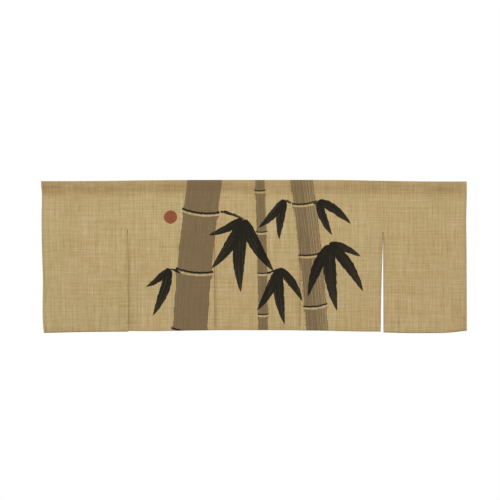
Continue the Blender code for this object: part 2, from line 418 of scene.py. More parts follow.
def lay(panel, across, rows, sizes):
    """Middle of the cloth and the direction to its wrong side, for each row and column."""
    flat_left, flat_right = flat_edges(panel)
    flat = flat_left + (flat_right - flat_left) * across
    sewn, split = read(HEADING, "sewn", flat / HALF) - SLEEVE_DROP, slit_top(flat)
    hem = on_curve(np.linspace(0, 1, HEM_RISES.shape[1]), HEM_RISES[panel], across) - DROP
    low = sewn + SLEEVE_SEAM
    tall = read(HEADING, "top", flat / HALF) - LAYER - low
    front = -LAYER + sizes.cloth / 2
    seam_gap = sizes.fold * (FOLD_APART + OVER_SIDE_HEM * over_side_hem(HALF - np.abs(flat)))
    points = np.zeros((len(rows), len(across), 3))
    wrong = np.zeros_like(points)
    for i, row in enumerate(rows):
        back = row.zone.startswith("back")
        if row.zone in ("back", "front"):
            bulge = SLEEVE_BACK_BULGE if back else -SLEEVE_FRONT_BULGE
            roundness = SLEEVE_BACK_ROUNDNESS if back else SLEEVE_FRONT_ROUNDNESS
            y, z, out_y, out_z = sleeve_wall(row.place, bulge, roundness, low, tall)
            y, z = y - front * out_y, z - front * out_z
            if back:
                y = y + (seam_gap + 2 * front) * (1 - (z - low) / tall) ** 2
            wrong[i, :, 1], wrong[i, :, 2] = -out_y, -out_z
        else:
            z = {
                "back_seam": sewn + row.place,
                "front_seam": sewn + row.place,
                "under": sewn + (split - sewn) * row.place,
                "panel": split + (hem + HEM_DEPTH + STITCH_BESIDE - split) * row.place,
                "hem": hem + row.place,
            }[row.zone]
            y = front + seam_gap if back else front
            wrong[i, :, 1] = -1 if back else 1
        share = (split - z) / (split - hem)
        left, right = panel_edges(panel, z, share)
        x = left + (right - left) * across
        if row.zone in ("under", "panel", "hem"):
            down = (sewn - NODE_GAP - z) / (sewn - NODE_GAP - hem)
            y = y + fold_depth(x, down) + swing(panel, x - left, right - x, share)
            y = y + BELLIES[panel] * np.sin(np.pi * across) * np.clip(share, 0, None)
            y = y + crease_depth(x, z) * ramp(0, CREASE_FADES, down)
            y = y + hem_curl(z - hem)
            y = y + pucker_depth(x, z - sewn) * ramp(0, PUCKER_FADES, down)
            y = y + pucker_depth(x + HEM_PUCKER_SHIFT, z - hem)
        points[i, :, 0], points[i, :, 1], points[i, :, 2] = x, y, z
        points[i] += wrong[i] * row.groove * sizes.groove
    return points, wrong


def cloth_rows(sizes):
    """All rows: up the sleeve's back, over the top fold, down the front and up the turned hem."""
    beside = ((-STITCH_BESIDE, 0.0), (0.0, 1.0), (STITCH_BESIDE, 0.0))
    turns = np.linspace(LEAST_TURN, math.pi, SLEEVE_ROWS)
    rows = [Row("back_seam", SEWN_EDGE)]
    rows += [Row("back_seam", SEAM_STITCH + step, groove) for step, groove in beside]
    rows += [Row("back", turn) for turn in turns]
    rows += [Row("front", turn) for turn in turns[-2::-1]]
    rows += [Row("front_seam", SLEEVE_SEAM)]
    rows += [Row("front_seam", SEAM_STITCH - step, groove) for step, groove in beside]
    rows += [Row("under", share) for share in np.linspace(0, 1, BODY_ROWS + 1)]
    first_open = len(rows)
    rows += [Row("panel", share) for share in np.linspace(0, 1, PANEL_ROWS + 1)[1:]]
    rows += [Row("hem", HEM_STITCH + step, groove) for step, groove in beside[1::-1]]
    rows += [Row("hem", place) for place in HEM_PLACES[::-1]]
    rows += [Row("hem", inset * sizes.fold, 0.0, turned) for inset, turned in FOLD_TURNS]
    rows += [Row("hem", place, 0.0, 1.0) for place in HEM_PLACES]
    rows += [Row("hem", HEM_STITCH + step, -groove, 1.0) for step, groove in beside]
    rows += [Row("hem", HEM_DEPTH, 0.0, 1.0)]
    return rows, first_open


def panel_columns(sizes):
    """A panel's columns: the turned side hem, its fold, the face, and the same mirrored."""
    hem = [(SIDE_HEM, 0.0), (SIDE_STITCH + STITCH_BESIDE, 0.0), (SIDE_STITCH, 1.0)]
    hem += [(SIDE_STITCH - STITCH_BESIDE, 0.0), (SIDE_INNER, 0.0)]
    left = [(-1, inset, 1.0, -groove) for inset, groove in hem]
    left += [(-1, inset * sizes.fold, turned, 0.0) for inset, turned in FOLD_TURNS[::-1]]
    left += [(-1, inset, 0.0, groove) for inset, groove in hem[:0:-1]]
    middle = [(0, share, 0.0, 0.0) for share in np.linspace(0, 1, PANEL_COLUMNS + 1)]
    right = [(1, *rest) for _, *rest in left[::-1]]
    return Column(*map(np.array, zip(*left, *middle, *right)))


def column_places(columns, width, opened):
    """Share across a panel of each column. opened is the share of a side hem that is turned over."""
    inset = columns.inset * np.where(columns.turned > 0.5, opened, 1.0) / width
    middle = (2 * SIDE_HEM + (width - 4 * SIDE_HEM) * columns.inset) / width
    return np.select([columns.side < 0, columns.side > 0], [inset, 1 - inset], middle)


def panel_grid(panel, columns, rows, first_open, sizes):
    """Points, flat places, strength of painted shade and share of print of a panel with its turned hems."""
    flat_left, flat_right = flat_edges(panel)
    width = flat_right - flat_left
    turned = columns.turned
    at_slit = ((columns.side < 0) & (panel > 0)) | ((columns.side > 0) & (panel < len(SLITS)))
    points = np.zeros((len(rows), len(turned), 3))
    flat, shaded, printed = np.zeros((3, len(rows), len(turned)))
    # Painted shade along the folded edges, at the outer sides and at each slit
    fold_shades = [FOLD_SHADE] + [slit.tone for slit in SLITS] + [FOLD_SHADE]
    fold_shade = np.where(columns.side < 0, fold_shades[panel], fold_shades[panel + 1])
    for i, row in enumerate(rows):
        is_open = i >= first_open
        below = row.place if row.zone == "panel" else 1.0
        opened = min(1.0, below * (DROP - SLIT_START) / SIDE_HEM_OPENS)
        places = column_places(columns, width, np.where(at_slit, opened, 1.0))
        middle, wrong = lay(panel, places, [row], sizes)
        folded = ~at_slit | is_open
        side_turn = FOLD_APART * turned * folded
        distance = np.minimum(places, 1 - places) * width
        reaches = np.where(places < 0.5, panel == 0 or is_open, panel == len(SLITS) or is_open)
        behind = FOLD_APART + OVER_SIDE_HEM * over_side_hem(distance) * reaches - side_turn
        offset = side_turn + (behind - side_turn) * row.turned
        offset = offset * sizes.fold + columns.groove * folded * sizes.groove * (1 - row.turned)
        points[i] = middle[0] + wrong[0] * offset[:, None]
        flat[i] = flat_left + places * width
        printed[i] = np.where((turned > 0.5) | (row.turned > 0.5), SOAKED_THROUGH, 1.0)
        if row.zone == "hem":
            lift = INNER_LIFT * turned * folded * ramp(INNER_LIFT_REACH, 0, row.place)
            points[i, :, 1] += hem_curl(row.place + lift) - hem_curl(row.place)
            points[i, :, 2] += lift
            # Painted shade over the two-layer hem, darker towards its bottom fold
            shaded[i] = HEM_SHADE + (HEM_FOLD_SHADES[panel] - HEM_SHADE) * ramp(*HEM_FOLD_EDGE, row.place)
        elif row.zone in ("under", "panel"):
            # Painted shade over the two-layer side hems and along the folded edges
            side_shade = HEM_SHADE * ramp(*SIDE_SHADE_EDGE, distance) * reaches
            shaded[i] = np.where((distance < FOLD_SHADE_REACH) & folded, fold_shade, side_shade)
        elif row.zone in ("back", "back_seam"):
            # Painted shade over the sleeve's back
            shaded[i] = SLEEVE_BACK_SHADE
    return points, flat, shaded, printed


def linen_sheet(sizes):
    """The thin cloth's points, flat places, strength of painted shade, share of print and faces."""
    rows, first_open = cloth_rows(sizes)
    columns = panel_columns(sizes)
    top_row = max(i for i, row in enumerate(rows) if row.zone == "back")
    fold_row = next(i for i, row in enumerate(rows) if row.turned == 0.5)
    left_apex = int(np.argmax(columns.inset == 0.0))
    right_apex = len(columns.inset) - 1 - left_apex
    parts, faces = [], []
    count, joined = 0, None
    for panel in range(PANEL_COUNT):
        grid, flat, shaded, printed = panel_grid(panel, columns, rows, first_open, sizes)
        steps = np.linalg.norm(np.diff(grid, axis=0), axis=2)
        run = np.vstack([np.zeros(flat.shape[1]), np.cumsum(steps, axis=0)])
        run -= run[top_row]
        # Painted shade of the sleeve's two layers and its soft shadow, by distance along the cloth from the
        # top fold
        along = np.interp(flat / HALF, SHADE_ACROSS, SHADE_ALONG)
        shaded += np.where(run > 0, np.interp(run, SHADE_DOWN, SHADE_SHARE) * along, 0.0)
        shaded[top_row] = SHADE_SHARE[0]
        run[fold_row:] = 2 * run[fold_row] - run[fold_row:]
        parts.append(np.dstack([grid, flat, run, shaded, printed]).reshape(flat.size, -1))
        ids = count + np.arange(flat.size).reshape(flat.shape)
        count += flat.size
        if joined is not None:
            ids[:first_open, left_apex] = joined
        joined = ids[:first_open, right_apex].copy()
        quads = np.stack([ids[:-1, :-1], ids[1:, :-1], ids[1:, 1:], ids[:-1, 1:]], axis=2)
        shown = np.ones(quads.shape[:2], bool)
        if panel > 0:
            shown[:first_open, :left_apex] = False
        if panel < len(SLITS):
            shown[:first_open, right_apex:] = False
        faces.append(quads[shown])
    used, faces = np.unique(np.vstack(faces), return_inverse=True)
    points, places, shaded, printed = np.split(np.vstack(parts)[used], (3, 5, 6), axis=1)
    return points, places, shaded, printed, faces.reshape(-1, 4)


def place_object(name, data, location=(0.0, 0.0, 0.0), rotation=(0.0, 0.0, 0.0)):
    made = bpy.data.objects.new(name, data)
    made.location = location
    made.rotation_euler = rotation
    bpy.context.scene.collection.objects.link(made)
    return made


def new_object(name, points, faces, materials):
    data = bpy.data.meshes.new(name)
    data.from_pydata(points.tolist(), [], faces)
    for material in materials:
        data.materials.append(material)
    data.shade_smooth()
    return place_object(name, data)


def sign(operation):
    """Makes a sign in a formula add a node."""
    return lambda value, *other: value.nodes.math(operation, value, *other)


class Value(namedtuple("Value", "nodes socket")):
    """A number or vector in a node tree, so that a finish reads as a few formulas."""

    __add__ = sign("ADD")
    __sub__ = sign("SUBTRACT")
    __mul__ = sign("MULTIPLY")
    __truediv__ = sign("DIVIDE")
    __pow__ = sign("POWER")
    __abs__ = sign("ABSOLUTE")

    def __rsub__(self, other):
        return self.nodes.math("SUBTRACT", other, self)


class Nodes:
    """Adds linked nodes to a tree."""

    def __init__(self, tree):
        self.tree = tree

    def give(self, socket, value):
        """Links a value to a socket, or sets a plain number or colour on it."""
        if isinstance(value, Value):
            self.tree.links.new(value.socket, socket)
        else:
            socket.default_value = value

    def add(self, kind, inputs=(), **settings):
        """All outputs of a new node, whose inputs are linked or set."""
        node = self.tree.nodes.new(kind)
        for name, value in settings.items():
            setattr(node, name, value)
        for key, value in dict(inputs).items():
            self.give(node.inputs[key], value)
        return node.outputs

    def one(self, kind, inputs=(), output=0, **settings):
        """One output of a new node."""
        return Value(self, self.add(kind, inputs, **settings)[output])

    def named(self, kind, inputs=(), **settings):
        """A new node's outputs by name."""
        return {socket.name: Value(self, socket) for socket in self.add(kind, inputs, **settings)}

    def math(self, operation, *values):
        return self.one("ShaderNodeMath", enumerate(values), operation=operation)

    def ramp(self, low, high, value):
        """Goes smoothly from 0 at low to 1 at high."""
        settings = {"interpolation_type": "SMOOTHSTEP", "clamp": False}
        return self.one("ShaderNodeMapRange", {0: value, 1: low, 2: high}, **settings)

    def line_noise(self, place, detail=2.0, roughness=0.5, socket="W", dimensions="1D"):
        """Noise about zero along a line, whose unit is the noise's own grain."""
        inputs = {socket: place, "Scale": 1.0, "Detail": detail, "Roughness": roughness}
        return self.one("ShaderNodeTexNoise", inputs, noise_dimensions=dimensions) - 0.5

    def noise(self, x, y, seed, detail=2.0):
        """Noise about zero over a surface."""
        place = self.one("ShaderNodeCombineXYZ", {0: x, 1: y, 2: seed})
        return self.line_noise(place, detail, socket="Vector", dimensions="3D")

    def mix(self, share, colour, other):
        return self.one("ShaderNodeMix", {0: share, 6: colour, 7: other}, output=2, data_type="RGBA")

    def tint(self, colour, strength):
        """A colour times a number."""
        return self.one("ShaderNodeVectorMath", {0: tuple(colour), 3: strength}, operation="SCALE")

    def shade(self, colour, strength, shift):
        """A colour times one plus a strength, which shifts its red, green and blue by their shares."""
        inputs = {0: strength, 1: shift, 2: (1.0, 1.0, 1.0)}
        factor = self.one("ShaderNodeVectorMath", inputs, operation="MULTIPLY_ADD")
        return self.one("ShaderNodeVectorMath", {0: colour, 1: factor}, operation="MULTIPLY")


def opaque(colour):
    return (*colour, 1.0)


def new_group(name, inputs, outputs):
    """An empty node group with plain number sockets, its nodes' maker, and what it is given."""
    group = bpy.data.node_groups.new(name, "ShaderNodeTree")
    for way, titles in (("INPUT", inputs), ("OUTPUT", outputs)):
        for title in titles:
            group.interface.new_socket(title, in_out=way, socket_type="NodeSocketFloat")
    nodes = Nodes(group)
    return group, nodes, nodes.named("NodeGroupInput")


def new_material(name, finish):
    """A material, its nodes' maker, and its shader's sockets with the even parts of its finish."""
    material = bpy.data.materials.new(name)
    material.use_nodes = True
    nodes = Nodes(material.node_tree)
    shader = material.node_tree.nodes["Principled BSDF"].inputs
    for title, value in finish.items():
        nodes.give(shader[title], value)
    return material, nodes, shader


# The print: bamboo in ink, with places across from the middle and down from the top fold along the cloth.
STROKE_FIELDS = "across down angle_deg length width_mm bow_mm"
STALKS = table("Stalk", STROKE_FIELDS + " joint joint_shift dryness", [
    (-0.262, 0.72, -84, 0.9, 150, -16, 0.239, 0.129, 0.1),
    (0.262, 0.72, -96.5, 0.9, 100, 12, 0.206, 0.201, 0.9),
    (0.035, 0.72, -91.5, 0.9, 44, 8, 0.165, 0.155, 0.45),
])
TWIGS = table("Twig", STROKE_FIELDS, [
    (0.255, 0.3, -38, 0.066, 12, 3),
    (-0.135, 0.128, 20, 0.11, 13, -5),
    (0.05, 0.376, -22, 0.056, 11, 2),
    (0.148, 0.096, -158, 0.034, 10, 2),
    (0.236, 0.098, -30, 0.03, 10, 2),
    (-0.296, 0.374, -160, 0.05, 11, 3),
])
LEAVES = table("Leaf", STROKE_FIELDS, [
    (0.3, 0.262, 112, 0.225, 46, 10),
    (0.303, 0.26, 83, 0.27, 54, 12),
    (0.304, 0.258, 54, 0.235, 47, -10),
    (0.3, 0.256, 22, 0.14, 33, -7),
    (-0.04, 0.162, 60, 0.24, 50, 11),
    (-0.043, 0.164, 92, 0.29, 56, 13),
    (-0.046, 0.162, 123, 0.235, 49, -12),
    (-0.05, 0.158, 154, 0.15, 34, -8),
    (0.098, 0.358, 84, 0.225, 45, 10),
    (0.1, 0.355, 55, 0.165, 37, -8),
    (0.095, 0.358, 117, 0.19, 41, -9),
    (0.122, 0.084, 98, 0.16, 37, 7),
    (0.12, 0.082, 133, 0.155, 36, -7),
    (0.256, 0.086, 68, 0.15, 36, 7),
    (0.258, 0.084, 36, 0.16, 38, -8),
    (-0.338, 0.358, 110, 0.2, 42, -9),
    (-0.34, 0.356, 142, 0.12, 30, -6),
])
TWIG_FORM = {"Fullness": 0.3, "Dryness": 0.3}
LEAF_FORM = {"Fullness": 0.8, "Dryness": 0.12}
JOINT_LINE_STEP = 5.5 * MM
DISC_ACROSS = -0.335
DISC_DOWN = 0.150
DISC_RIM = (25.8 * MM, 27.6 * MM)
DISC_GRAIN = 40.0
DISC_WOBBLE = 5 * MM

# How ink is laid, with grains counted along a metre. An edge wobbles by the waver, differently on its two
# sides. Bristles leave streaks, which break up along the stroke and run dry above the least.
BRUSH_FIELDS = "edge_grain waver side bristle_grain broken_grain broken_bristle broken least worn"
Brush = namedtuple("Brush", BRUSH_FIELDS)
STROKE_BRUSH = Brush(38.0, 8 * MM, 7.3, 380.0, 16.0, 40.0, 0.7, 0.16, 0.12)
STALK_BRUSH = Brush(24.0, 9 * MM, 5.7, 230.0, 7.0, 24.0, 0.5, 0.06, 0.09)
INK_EDGE = (0.4 * MM, 1.8 * MM)
DRIES_ALONG = 0.20

# A stalk's arched joints with a bare gap and a dark line, the flare beside them, and its frayed rim. It is
# drier to its right, and a faint streak shows even where it is wet.
JOINT_ARCH = 0.07
JOINT_RAGGED = 5 * MM
JOINT_GRAIN = 90.0
GAP_EDGE = (2.4 * MM, 4.6 * MM)
LINE_HALF = 0.012
LINE_EDGE = (0.8 * MM, 2.6 * MM)
LINE_ENDS = (-1 * MM, 1 * MM)
FLARE_REACH = 26 * MM
FLARE = 0.10
WAIST = 0.93
FRAYED = 16 * MM
FRAYED_GRAIN = 170.0
STALK_EDGE = (0.0, 2.2 * MM)
DRY_RIGHT = 0.10
FAINT_SPAN = (-0.15, 0.15)
FAINT = 0.10

# What a stroke's group is given: the place on the cloth, then a row of its table.
STROKE_INPUTS = ("Across", "Down", "Start across", "Start down", "Angle", "Length", "Width", "Bow")
STALK_INPUTS = (*STROKE_INPUTS, "Joint", "Joint shift", "Dryness", "Joint line")
OWN_NOISE_STEP = 90.0


def along_and_beside(nodes, given):
    """Length and share along a stroke, and distance beside its bowed line."""
    x = given["Across"] - given["Start across"]
    y = given["Down"] - given["Start down"]
    cosine, sine = nodes.math("COSINE", given["Angle"]), nodes.math("SINE", given["Angle"])
    along = x * cosine + y * sine
    beside = y * cosine - x * sine
    share = along / given["Length"]
    return along, share, beside - share * (1.0 - share) * given["Bow"] * 4.0


def own_noise(nodes, given, place, **settings):
    """Noise along a line that differs from stroke to stroke."""
    return nodes.line_noise(place + given["Start across"] * OWN_NOISE_STEP, **settings)


def brush_stroke_group():
    """A stroke that swells from a fine start and runs out in a point."""
    group, nodes, given = new_group("Brush stroke", (*STROKE_INPUTS, "Fullness", "Dryness"), ("Ink",))
    brush = STROKE_BRUSH
    along, share, beside = along_and_beside(nodes, given)
    inside = nodes.one("ShaderNodeClamp", {0: share})
    # 2.6 brings the swell's greatest width to one.
    swell = (nodes.math("SQRT", inside) * (1.0 - inside) * 2.6) ** given["Fullness"]
    side = nodes.math("SIGN", beside) * brush.side
    wobble = own_noise(nodes, given, along * brush.edge_grain + side) * brush.waver
    room = swell * (given["Width"] * 0.5 + wobble) - abs(beside)
    ink = nodes.ramp(*INK_EDGE, room)
    bristle = own_noise(nodes, given, beside * brush.bristle_grain, detail=3.0)
    broken = nodes.line_noise(along * brush.broken_grain + bristle * brush.broken_bristle)
    dry = bristle + broken * brush.broken + inside * DRIES_ALONG - brush.least
    worn = nodes.ramp(0.0, brush.worn, dry) * given["Dryness"]
    nodes.add("NodeGroupOutput", {"Ink": ink * (1.0 - worn)})
    return group


def stalk_group():
    """A broad stalk in joints, streaked along its length, with bare gaps and dark lines at the joints."""
    group, nodes, given = new_group("Bamboo stalk", STALK_INPUTS, ("Ink", "Line"))
    brush = STALK_BRUSH
    along, _, beside = along_and_beside(nodes, given)
    half = given["Width"] * 0.5
    rim = beside / half
    arch = (1.0 - rim * rim) * given["Width"] * JOINT_ARCH
    cell = (along + arch + given["Joint shift"]) / given["Joint"]
    place = (nodes.math("FRACT", cell) - 0.5) * given["Joint"]
    ragged = own_noise(nodes, given, beside * JOINT_GRAIN, detail=3.0) * JOINT_RAGGED
    from_joint = given["Joint"] * 0.5 - abs(place)
    flare = 1.0 - nodes.ramp(0.0, FLARE_REACH, from_joint)
    wide = half * (flare * FLARE + WAIST)
    side = nodes.math("SIGN", beside) * brush.side
    wobble = own_noise(nodes, given, along * brush.edge_grain + side, detail=4.0) * brush.waver
    frayed = own_noise(nodes, given, along * FRAYED_GRAIN + side, detail=3.0)
    frayed = frayed * given["Dryness"] * FRAYED
    room = wide + wobble + frayed - abs(beside)
    body = nodes.ramp(*STALK_EDGE, room)
    gap = nodes.ramp(*GAP_EDGE, from_joint + ragged)
    bristle = own_noise(nodes, given, beside * brush.bristle_grain, detail=4.0, roughness=0.66)
    broken = nodes.line_noise(along * brush.broken_grain + bristle * brush.broken_bristle)
    dry = bristle + broken * brush.broken + rim * given["Dryness"] * DRY_RIGHT - brush.least
    worn = nodes.ramp(0.0, brush.worn, dry) * given["Dryness"]
    faint = nodes.ramp(*FAINT_SPAN, bristle) * FAINT
    ink = body * gap * (1.0 - nodes.math("MAXIMUM", worn, faint))
    from_line = abs(place + ragged + given["Joint line"]) - given["Width"] * LINE_HALF
    line = (1.0 - nodes.ramp(*LINE_EDGE, from_line)) * nodes.ramp(*LINE_ENDS, room)
    nodes.add("NodeGroupOutput", {"Ink": ink, "Line": line})
    return group


def lay_stroke(nodes, group, place, row, form):
    """The inks of one stroke or stalk of the print."""
    values = {**dict(zip(STALK_INPUTS, (*place, *row))), **form}
    return nodes.named("ShaderNodeGroup", values, node_tree=group)


def print_group():
    """How much of each ink the bamboo print lays at a place on the flat cloth."""
    stalk, stroke = stalk_group(), brush_stroke_group()
    group, nodes, given = new_group("Bamboo print", ("Across", "Down"), ("Stalk", "Leaf", "Disc"))
    place = given["Across"], given["Down"]
    # Each ink is joined to the rest at once, because the renderer has room for few values at a time.
    body, dark = 0.0, 0.0
    for row in STALKS:
        form = {"Joint line": 0.5 * row.joint - JOINT_LINE_STEP - 0.03 * row.width}
        inks = lay_stroke(nodes, stalk, place, row, form)
        body = nodes.math("MAXIMUM", inks["Ink"], body)
        dark = nodes.math("MAXIMUM", inks["Line"], dark)
    for rows, form in ((TWIGS, TWIG_FORM), (LEAVES, LEAF_FORM)):
        for row in rows:
            dark = nodes.math("MAXIMUM", lay_stroke(nodes, stroke, place, row, form)["Ink"], dark)
    x, y = place[0] - DISC_ACROSS, place[1] - DISC_DOWN
    far = nodes.math("SQRT", x * x + y * y)
    wobble = nodes.noise(x * DISC_GRAIN, y * DISC_GRAIN, 2.0) * DISC_WOBBLE
    disc = 1.0 - nodes.ramp(*DISC_RIM, far + wobble)
    nodes.add("NodeGroupOutput", {"Stalk": body, "Leaf": dark, "Disc": disc})
    return group


# Streaks in the linen: grains in a metre across and down the cloth, a seed, and their share in the tone.
Streak = namedtuple("Streak", "across down seed tone")
GRAIN = {
    "warp fine": Streak(780.0, 24.0, 11.0, 0.30),
    "weft fine": Streak(24.0, 780.0, 12.0, 0.26),
    "warp broad": Streak(210.0, 13.0, 13.0, 0.46),
    "weft broad": Streak(13.0, 210.0, 14.0, 0.36),
    "warp long": Streak(190.0, 2.6, 19.0, 0.50),
    "weft long": Streak(2.6, 190.0, 20.0, 0.43),
    "clouds": Streak(9.0, 9.0, 15.0, 0.20),
}
WARP_SLUBS = Streak(330.0, 22.0, 16.0, -0.10)
WEFT_SLUBS = Streak(22.0, 330.0, 17.0, 0.09)
SLUB_EDGE = (0.12, 0.22)
WEAVE_TURN = 0.35
# The weave's painted shade and highlight: its gaps darker and its threads' tops lighter than this middle
# height
WEAVE_MIDDLE = 0.64
WEAVE_SHADE = 0.16

# Patches where the linen leans to rose or straw, and patches in the strength of the painted shade
HUE_STREAKS = (Streak(60.0, 26.0, 18.0, 1.0), Streak(4.0, 5.0, 23.0, 1.0))
HUE_SPAN = (-0.20, 0.20)
HUE_FROM_WARP = 0.5
HUE_ACROSS = 0.10
ROSE = (1.016, 0.984, 0.99)
STRAW = (0.984, 1.014, 1.01)
FINE_PATCHES = Streak(18.0, 40.0, 21.0, 1.3)
WIDE_PATCHES = Streak(5.0, 3.0, 22.0, 1.56)

# How much a thread's tone moves red, green and blue: pale threads are less yellow, dark ones more.
PALE_THREAD = (0.80, 1.05, 1.75)

# Stalk and disc ink holds best on the weave's tops, and leaf ink soaks in almost evenly.
HELD_BY_WEAVE = 0.10
HELD_EVENLY = 0.90
HELD_BY_THREADS = 0.5
SOAKED_EVENLY = 0.995
SOAKED_BY_THREADS = 0.05
INK_TONE = 0.35
THREAD_HEIGHT = 1.2
SLUB_HEIGHT = 0.8

LINEN_BUMP = {"Strength": 0.55, "Distance": 0.35 * MM}
LINEN_FINISH = {
    "Roughness": 0.92, "Specular IOR Level": 0.12, "Sheen Weight": 0.05, "Sheen Roughness": 0.6,
}
THREAD_BUMP = {"Strength": 0.5, "Distance": 0.06 * MM}
THREAD_FINISH = {"Roughness": 0.85, "Specular IOR Level": 0.25}
THREAD_PATCHES = 0.5
# Painted shade and highlight along the thread's twist, in step with its bump
THREAD_RIDGE_SHADE = 0.10
THREAD_TWIST = 0.35 * MM
THREAD_GRAIN = 140.0


def weave_height(nodes, across, down, pitch):
    """Threads passing over and under each other, 0 in the gaps and 1 on top."""
    warp = nodes.math("SINE", across * (math.pi / pitch))
    weft = nodes.math("SINE", down * (math.pi / pitch))
    over = nodes.ramp(-WEAVE_TURN, WEAVE_TURN, warp * weft)
    return abs(warp) * over + abs(weft) * (1.0 - over)


def linen_material(name, sizes, colours, print_nodes, shown):
    """Matte slub linen. shown is how much of the print shows on this side."""
    material, nodes, shader = new_material(name, LINEN_FINISH)
    place = nodes.one("ShaderNodeUVMap", uv_map="cloth_place")
    split = nodes.named("ShaderNodeSeparateXYZ", {0: place})
    across, down = split["X"], split["Y"]

    def streaks(streak, detail=2.0):
        return nodes.noise(across * streak.across, down * streak.down, streak.seed, detail)

    grain = {title: streaks(streak) for title, streak in GRAIN.items()}
    warp_slubs = nodes.ramp(*SLUB_EDGE, streaks(WARP_SLUBS, 1.0))
    weft_slubs = nodes.ramp(*SLUB_EDGE, streaks(WEFT_SLUBS, 1.0))
    weave = weave_height(nodes, across, down, sizes.weave)
    tone = warp_slubs * WARP_SLUBS.tone + weft_slubs * WEFT_SLUBS.tone
    # Painted shade in the weave's gaps and painted highlight on its threads' tops
    tone = tone + (weave - WEAVE_MIDDLE) * WEAVE_SHADE
    for title, streak in GRAIN.items():
        tone = tone + grain[title] * streak.tone

    hue = streaks(HUE_STREAKS[0]) + streaks(HUE_STREAKS[1]) + grain["warp broad"] * HUE_FROM_WARP
    warm = nodes.ramp(*HUE_SPAN, hue + across * HUE_ACROSS)
    straw, rose = (opaque(np.array(colours.linen) * lean) for lean in (STRAW, ROSE))
    cloth = nodes.shade(nodes.mix(warm, straw, rose), tone, PALE_THREAD)
    # Painted shade darkens the linen, in patches: two layers of cloth let less light through, and the sleeve
    # casts a soft shadow
    shaded = nodes.one("ShaderNodeAttribute", output="Fac", attribute_name="shaded")
    patches = streaks(FINE_PATCHES, 3.0) * FINE_PATCHES.tone + streaks(WIDE_PATCHES) * WIDE_PATCHES.tone
    loss = tuple(share - 1.0 for share in colours.shaded)
    cloth = nodes.shade(cloth, shaded * (patches + 1.0), loss)

    inks = nodes.named("ShaderNodeGroup", {"Across": across, "Down": down}, node_tree=print_nodes)
    soaked = nodes.one("ShaderNodeAttribute", output="Fac", attribute_name="printed") * shown
    threads = grain["warp fine"] + grain["weft fine"]
    held = (weave * HELD_BY_WEAVE + HELD_EVENLY + threads * HELD_BY_THREADS) * soaked
    soaked_in = (threads * SOAKED_BY_THREADS + SOAKED_EVENLY) * soaked
    ink_tone = (threads + grain["warp broad"]) * INK_TONE + 1.0
    colour = nodes.mix(inks["Stalk"] * held, cloth, nodes.tint(colours.stalk, ink_tone))
    colour = nodes.mix(inks["Disc"] * held, colour, opaque(colours.disc))
    colour = nodes.mix(inks["Leaf"] * soaked_in, colour, nodes.tint(colours.leaf, ink_tone))

    height = weave + threads * THREAD_HEIGHT + weft_slubs * SLUB_HEIGHT
    bump = nodes.one("ShaderNodeBump", {**LINEN_BUMP, "Height": height})
    nodes.give(shader["Base Color"], colour)
    nodes.give(shader["Normal"], bump)
    return material


def thread_material(name, colour):
    """Matte spun thread with a fine twist."""
    material, nodes, shader = new_material(name, THREAD_FINISH)
    place = nodes.one("ShaderNodeTexCoord", output="Object")
    split = nodes.named("ShaderNodeSeparateXYZ", {0: place})
    x, y, z = (split[axis] for axis in "XYZ")
    patchy = nodes.noise(x * THREAD_GRAIN, z * THREAD_GRAIN, 4.0)
    twist = nodes.math("SINE", (x + y + z) * (2 * math.pi / THREAD_TWIST))
    bump = nodes.one("ShaderNodeBump", {**THREAD_BUMP, "Height": twist})
    # Patchy thread tone, with painted shade in the twist's grooves and painted highlight on its ridges
    nodes.give(shader["Base Color"], nodes.tint(colour, patchy * THREAD_PATCHES + twist * THREAD_RIDGE_SHADE + 1.0))
    nodes.give(shader["Normal"], bump)
    return material


# One stitch: places along it, its thickness there and how far it dips into the cloth, as shares.
STITCH_RINGS = ((-0.62, 0.85, 0.45), (0.0, 1.0, 0.0), (0.62, 0.85, 0.45))
STITCH_TIPS = ((-1.0, 0.0, 1.3), (1.0, 0.0, 1.3))
STITCH_SIDES = 6
STITCH_LIFT = 0.75

# A tack's thread and its step, in thread thicknesses, and how unevenly its bars lie
TACK_THREAD = 1.25
TACK_STEP = 1.7
TACK_TILT = 0.05
TACK_TILT_STEP = 2.3


def stitches(middles, ways, outs, length, radius):
    """Short rounded threads lying on the cloth, at their middles, along ways and standing out."""
    sides = np.cross(ways, outs)
    corners = []
    for along, thick, dip in (STITCH_TIPS[0], *STITCH_RINGS, STITCH_TIPS[1]):
        centre = middles + ways * (along * length / 2) + outs * (radius * (STITCH_LIFT - dip))
        for k in range(STITCH_SIDES if thick > 0 else 1):
            turn = 2 * math.pi * k / STITCH_SIDES
            corners.append(centre + radius * thick * (outs * math.cos(turn) + sides * math.sin(turn)))
    per = len(corners)
    points = np.stack(corners, axis=1).reshape(-1, 3)
    faces = []
    last = 1 + (len(STITCH_RINGS) - 1) * STITCH_SIDES
    for k in range(STITCH_SIDES):
        j = (k + 1) % STITCH_SIDES
        faces.append((0, 1 + j, 1 + k, 1 + k))
        for a in range(1, last, STITCH_SIDES):
            b = a + STITCH_SIDES
            faces.append((a + k, a + j, b + j, b + k))
        faces.append((last + k, last + j, per - 1, per - 1))
    starts = np.arange(len(middles)) * per
    return points, (np.array(faces)[None] + starts[:, None, None]).reshape(-1, 4)


def threads_object(name, parts, material):
    """Joins groups of stitches into one piece."""
    starts = np.cumsum([0] + [len(points) for points, _ in parts])
    faces = np.vstack([faces + start for (_, faces), start in zip(parts, starts)])
    corners = [tuple(dict.fromkeys(face)) for face in faces.tolist()]
    return new_object(name, np.vstack([points for points, _ in parts]), corners, [material])


def unit(ways):
    return ways / np.linalg.norm(ways, axis=1)[:, None]


def square_to(ways, outs):
    return unit(outs - ways * np.sum(ways * outs, axis=1)[:, None])


